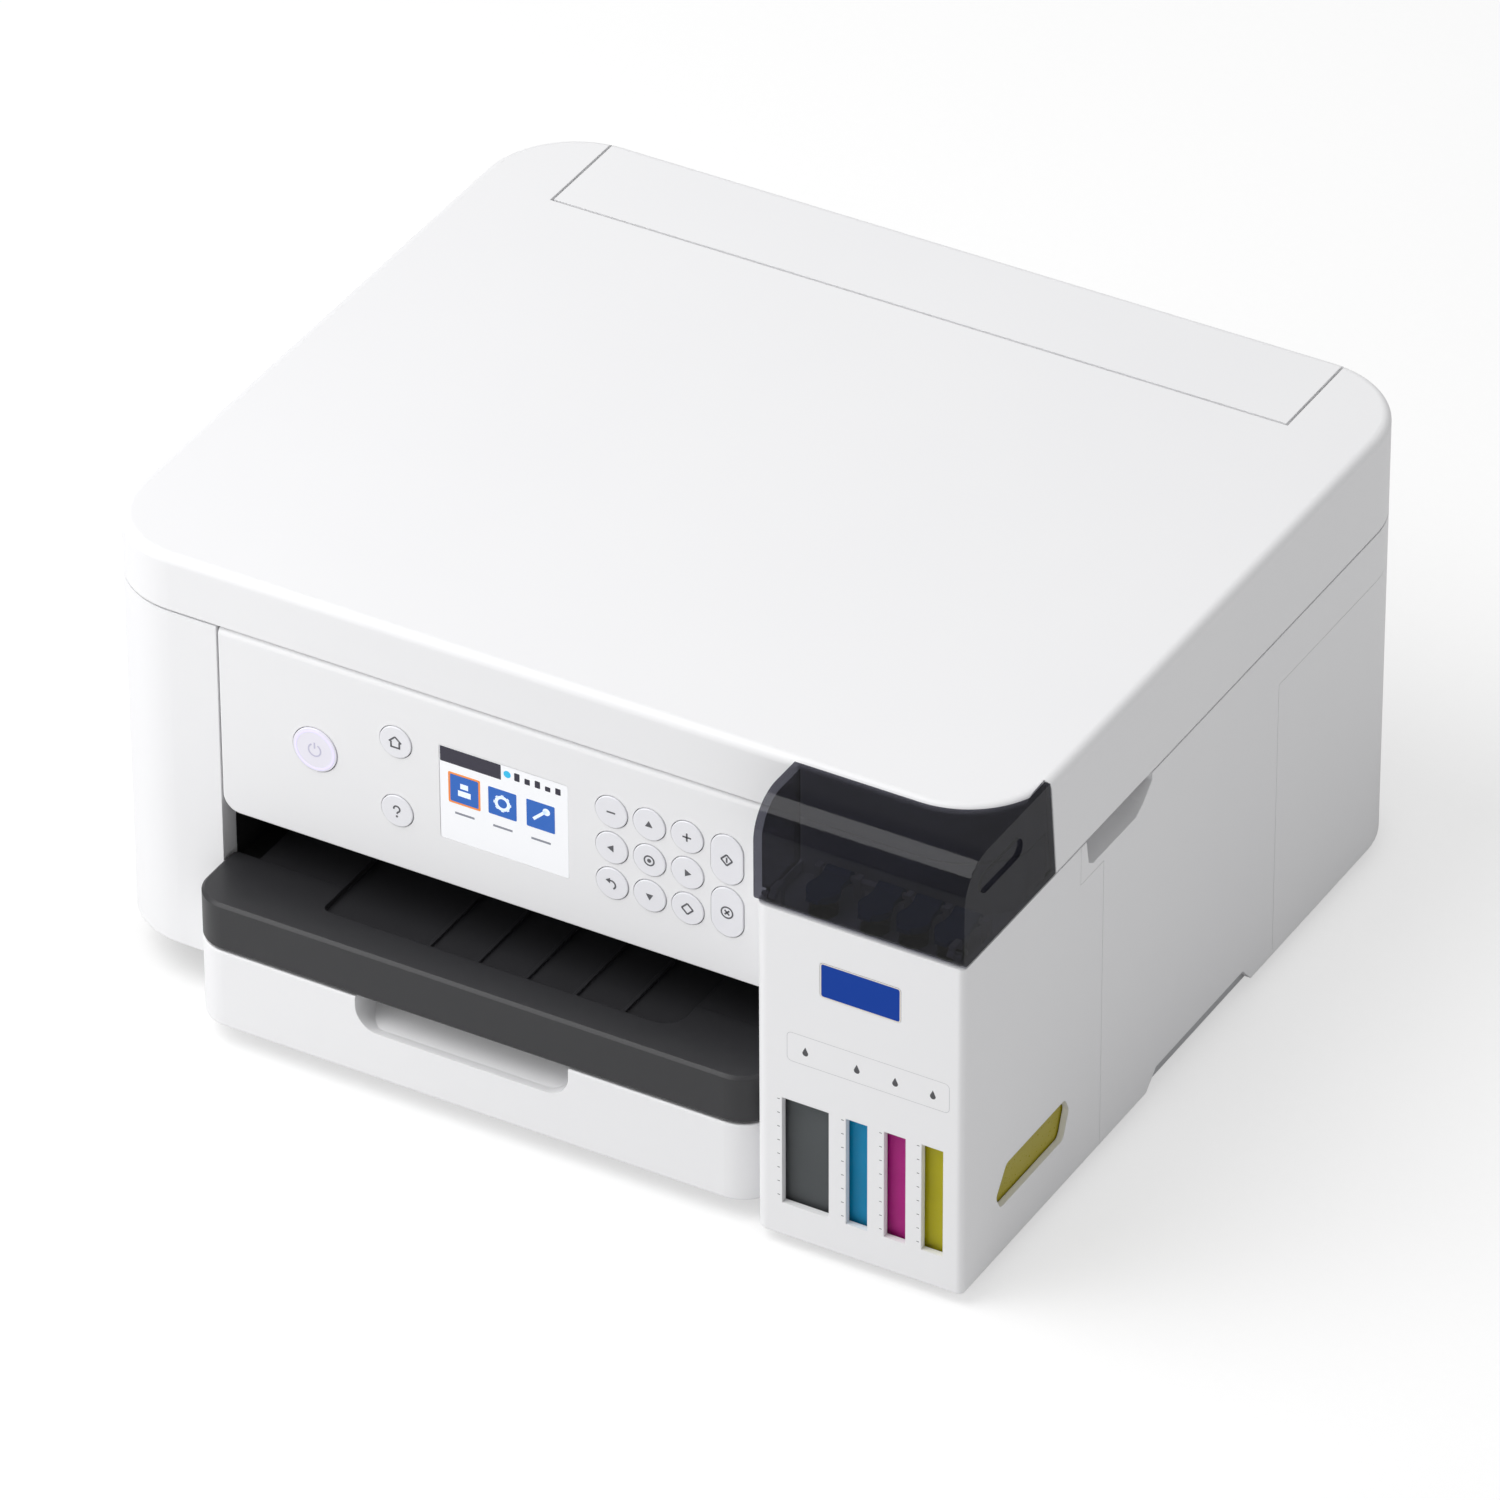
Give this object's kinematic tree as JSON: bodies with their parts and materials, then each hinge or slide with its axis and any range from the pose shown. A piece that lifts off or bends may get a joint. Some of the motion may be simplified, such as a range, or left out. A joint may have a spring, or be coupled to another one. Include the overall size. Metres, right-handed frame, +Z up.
{
  "type": "dye sublimation printer",
  "caption": "Compact desktop ink tank printer with a tilting control panel, lifting top cover, smoke tank cover, output tray and paper cassette.",
  "frame": {"origin": "middle of the footprint on the table", "axes": "+X to the right seen from the front, +Y to the back, +Z up"},
  "size_m": [0.375, 0.347, 0.187],
  "materials": {
    "shell_white": "fine matte",
    "smoke_clear": "clear smoke, polished",
    "tray_charcoal": "satin",
    "frame_black": "matte",
    "base_grey": "matte",
    "foot_rubber": "matte",
    "tank_clear": "clear, moulded",
    "ink_black": "liquid",
    "ink_cyan": "liquid",
    "ink_magenta": "liquid",
    "ink_yellow": "liquid",
    "cap_blue": "satin",
    "plate_blue": "printed",
    "display_glass": "glossy",
    "key_white": "satin",
    "key_lit": "satin, lit ring",
    "steel_sheet": "galvanised sheet",
    "steel_ground": "ground",
    "motor_metal": "plated",
    "supply_metal": "matte",
    "roller_rubber": "matte",
    "belt_rubber": "matte",
    "acetal_white": "satin",
    "guide_grey": "satin"
  },
  "bodies": {
    "casing": {"base_tray": "base_grey", "capping_station": "frame_black", "carriage_belt": "belt_rubber", "carriage_motor": "motor_metal", "carriage_rod": "steel_ground", "feed_belt": "belt_rubber", "feed_motor": "motor_metal", "feet": "foot_rubber", "ink_black": "ink_black", "ink_cyan": "ink_cyan", "ink_magenta": "ink_magenta", "ink_yellow": "ink_yellow", "inner_frame": "frame_black", "left_casing": "shell_white", "main_frame": "steel_sheet", "name_plate": "plate_blue", "platen": "frame_black", "power_inlet": "frame_black", "power_supply": "supply_metal", "rear_casing": "shell_white", "rear_feed_guide": "frame_black", "right_casing": "shell_white", "tank_black": "tank_clear", "tank_housing": "shell_white", "tanks_colour": "tank_clear"},
    "top_cover": {"top_cover": "shell_white"},
    "rear_flap": {"rear_flap": "shell_white"},
    "tank_cover": {"tank_cover": "smoke_clear"},
    "cap_black": {"cap_black": "cap_blue"},
    "cap_cyan": {"cap_cyan": "cap_blue"},
    "cap_magenta": {"cap_magenta": "cap_blue"},
    "cap_yellow": {"cap_yellow": "cap_blue"},
    "output_tray": {"output_tray": "tray_charcoal"},
    "paper_cassette": {"paper_cassette": "shell_white"},
    "guide_left": {"guide_left": "guide_grey"},
    "guide_right": {"guide_right": "guide_grey"},
    "guide_pinion": {"guide_pinion": "acetal_white"},
    "carriage": {"carriage": "frame_black"},
    "carriage_pulley": {"carriage_pulley": "acetal_white"},
    "idler_pulley": {"idler_pulley": "acetal_white"},
    "feed_roller": {"feed_roller": "roller_rubber"},
    "exit_roller": {"exit_roller": "roller_rubber"},
    "feed_motor_pulley": {"feed_motor_pulley": "acetal_white"},
    "pickup_roller": {"pickup_roller": "roller_rubber"},
    "button_back": {"button_back": "key_white"},
    "button_down": {"button_down": "key_white"},
    "button_function": {"button_function": "key_white"},
    "button_help": {"button_help": "key_white"},
    "button_home": {"button_home": "key_white"},
    "button_left": {"button_left": "key_white"},
    "button_minus": {"button_minus": "key_white"},
    "button_ok": {"button_ok": "key_white"},
    "button_plus": {"button_plus": "key_white"},
    "button_power": {"button_power": "key_lit"},
    "button_right": {"button_right": "key_white"},
    "button_start": {"button_start": "key_white"},
    "button_stop": {"button_stop": "key_white"},
    "button_up": {"button_up": "key_white"},
    "control_panel": {"control_panel": "shell_white", "display": "display_glass"}
  },
  "joints": [
    {"name": "top_cover_hinge", "type": "hinge", "parent": "casing", "child": "top_cover", "pos_m": [0, 0.1713, 0.1482], "axis": [-1, 0, 0], "range_deg": [0, 60]},
    {"name": "rear_flap_hinge", "type": "hinge", "parent": "top_cover", "child": "rear_flap", "pos_m": [0, 0.1685, 0.1815], "axis": [-1, 0, 0], "range_deg": [0, 100]},
    {"name": "tank_cover_hinge", "type": "hinge", "parent": "casing", "child": "tank_cover", "pos_m": [0.14575, -0.1709, 0.1486], "axis": [1, 0, 0], "range_deg": [0, 90]},
    {"name": "cap_black_hinge", "type": "hinge", "parent": "casing", "child": "cap_black", "pos_m": [0.1246, -0.1495, 0.1495], "axis": [-1, 0, 0], "range_deg": [0, 80]},
    {"name": "cap_cyan_hinge", "type": "hinge", "parent": "casing", "child": "cap_cyan", "pos_m": [0.1452, -0.1495, 0.1495], "axis": [-1, 0, 0], "range_deg": [0, 80]},
    {"name": "cap_magenta_hinge", "type": "hinge", "parent": "casing", "child": "cap_magenta", "pos_m": [0.1605, -0.1495, 0.1495], "axis": [-1, 0, 0], "range_deg": [0, 80]},
    {"name": "cap_yellow_hinge", "type": "hinge", "parent": "casing", "child": "cap_yellow", "pos_m": [0.1755, -0.1495, 0.1495], "axis": [-1, 0, 0], "range_deg": [0, 80]},
    {"name": "control_panel_tilt", "type": "hinge", "parent": "casing", "child": "control_panel", "pos_m": [-0.01475, -0.1405, 0.16], "axis": [-1, 0, 0], "range_deg": [0, 60]},
    {"name": "button_back_press", "type": "slide", "parent": "control_panel", "child": "button_back", "axis": [0, 1, 0], "range_m": [0, 0.0008], "stiffness_N_per_m": 400, "springref_m": -0.001},
    {"name": "button_down_press", "type": "slide", "parent": "control_panel", "child": "button_down", "axis": [0, 1, 0], "range_m": [0, 0.0008], "stiffness_N_per_m": 400, "springref_m": -0.001},
    {"name": "button_function_press", "type": "slide", "parent": "control_panel", "child": "button_function", "axis": [0, 1, 0], "range_m": [0, 0.0008], "stiffness_N_per_m": 400, "springref_m": -0.001},
    {"name": "button_help_press", "type": "slide", "parent": "control_panel", "child": "button_help", "axis": [0, 1, 0], "range_m": [0, 0.0008], "stiffness_N_per_m": 400, "springref_m": -0.001},
    {"name": "button_home_press", "type": "slide", "parent": "control_panel", "child": "button_home", "axis": [0, 1, 0], "range_m": [0, 0.0008], "stiffness_N_per_m": 400, "springref_m": -0.001},
    {"name": "button_left_press", "type": "slide", "parent": "control_panel", "child": "button_left", "axis": [0, 1, 0], "range_m": [0, 0.0008], "stiffness_N_per_m": 400, "springref_m": -0.001},
    {"name": "button_minus_press", "type": "slide", "parent": "control_panel", "child": "button_minus", "axis": [0, 1, 0], "range_m": [0, 0.0008], "stiffness_N_per_m": 400, "springref_m": -0.001},
    {"name": "button_ok_press", "type": "slide", "parent": "control_panel", "child": "button_ok", "axis": [0, 1, 0], "range_m": [0, 0.0008], "stiffness_N_per_m": 400, "springref_m": -0.001},
    {"name": "button_plus_press", "type": "slide", "parent": "control_panel", "child": "button_plus", "axis": [0, 1, 0], "range_m": [0, 0.0008], "stiffness_N_per_m": 400, "springref_m": -0.001},
    {"name": "button_power_press", "type": "slide", "parent": "control_panel", "child": "button_power", "axis": [0, 1, 0], "range_m": [0, 0.0008], "stiffness_N_per_m": 400, "springref_m": -0.001},
    {"name": "button_right_press", "type": "slide", "parent": "control_panel", "child": "button_right", "axis": [0, 1, 0], "range_m": [0, 0.0008], "stiffness_N_per_m": 400, "springref_m": -0.001},
    {"name": "button_start_press", "type": "slide", "parent": "control_panel", "child": "button_start", "axis": [0, 1, 0], "range_m": [0, 0.0008], "stiffness_N_per_m": 400, "springref_m": -0.001},
    {"name": "button_stop_press", "type": "slide", "parent": "control_panel", "child": "button_stop", "axis": [0, 1, 0], "range_m": [0, 0.0008], "stiffness_N_per_m": 400, "springref_m": -0.001},
    {"name": "button_up_press", "type": "slide", "parent": "control_panel", "child": "button_up", "axis": [0, 1, 0], "range_m": [0, 0.0008], "stiffness_N_per_m": 400, "springref_m": -0.001},
    {"name": "output_tray_slide", "type": "slide", "parent": "casing", "child": "output_tray", "axis": [0, -1, 0], "range_m": [0, 0.09]},
    {"name": "paper_cassette_slide", "type": "slide", "parent": "casing", "child": "paper_cassette", "axis": [0, -1, 0], "range_m": [0, 0.25]},
    {"name": "guide_left_slide", "type": "slide", "parent": "paper_cassette", "child": "guide_left", "axis": [1, 0, 0], "range_m": [0, 0.052]},
    {"name": "guide_right_slide", "type": "slide", "parent": "paper_cassette", "child": "guide_right", "axis": [1, 0, 0], "range_m": [-0.052, 0]},
    {"name": "guide_pinion_spin", "type": "hinge", "parent": "paper_cassette", "child": "guide_pinion", "pos_m": [-0.01475, 0.02, 0.0115], "axis": [0, 0, 1], "range_deg": [-2, 345]},
    {"name": "carriage_slide", "type": "slide", "parent": "casing", "child": "carriage", "axis": [1, 0, 0], "range_m": [-0.248, 0]},
    {"name": "carriage_pulley_spin", "type": "hinge", "parent": "casing", "child": "carriage_pulley", "pos_m": [-0.141, 0.0365, 0.11], "axis": [0, 1, 0], "range_deg": [-10, 2080]},
    {"name": "idler_pulley_spin", "type": "hinge", "parent": "casing", "child": "idler_pulley", "pos_m": [0.155, 0.0365, 0.11], "axis": [0, 1, 0], "range_deg": [-10, 2080]},
    {"name": "feed_roller_spin", "type": "hinge", "parent": "casing", "child": "feed_roller", "pos_m": [0, 0.028, 0.07], "axis": [1, 0, 0], "continuous": true},
    {"name": "exit_roller_spin", "type": "hinge", "parent": "casing", "child": "exit_roller", "pos_m": [0, -0.045, 0.07167], "axis": [1, 0, 0], "continuous": true},
    {"name": "feed_motor_spin", "type": "hinge", "parent": "casing", "child": "feed_motor_pulley", "pos_m": [-0.155, -0.008, 0.038], "axis": [1, 0, 0], "continuous": true},
    {"name": "pickup_roller_spin", "type": "hinge", "parent": "casing", "child": "pickup_roller", "pos_m": [0, 0.095, 0.049], "axis": [1, 0, 0], "continuous": true}
  ],
  "couplings": [
    {"joint": "guide_right_slide", "follows": "guide_left_slide", "ratio": -1},
    {"joint": "guide_pinion_spin", "follows": "guide_left_slide", "rad_per_m": 114.29},
    {"joint": "carriage_pulley_spin", "follows": "carriage_slide", "rad_per_m": -145.99},
    {"joint": "idler_pulley_spin", "follows": "carriage_slide", "rad_per_m": -145.99},
    {"joint": "exit_roller_spin", "follows": "feed_roller_spin", "ratio": 1.5},
    {"joint": "feed_motor_spin", "follows": "feed_roller_spin", "ratio": 2}
  ]
}
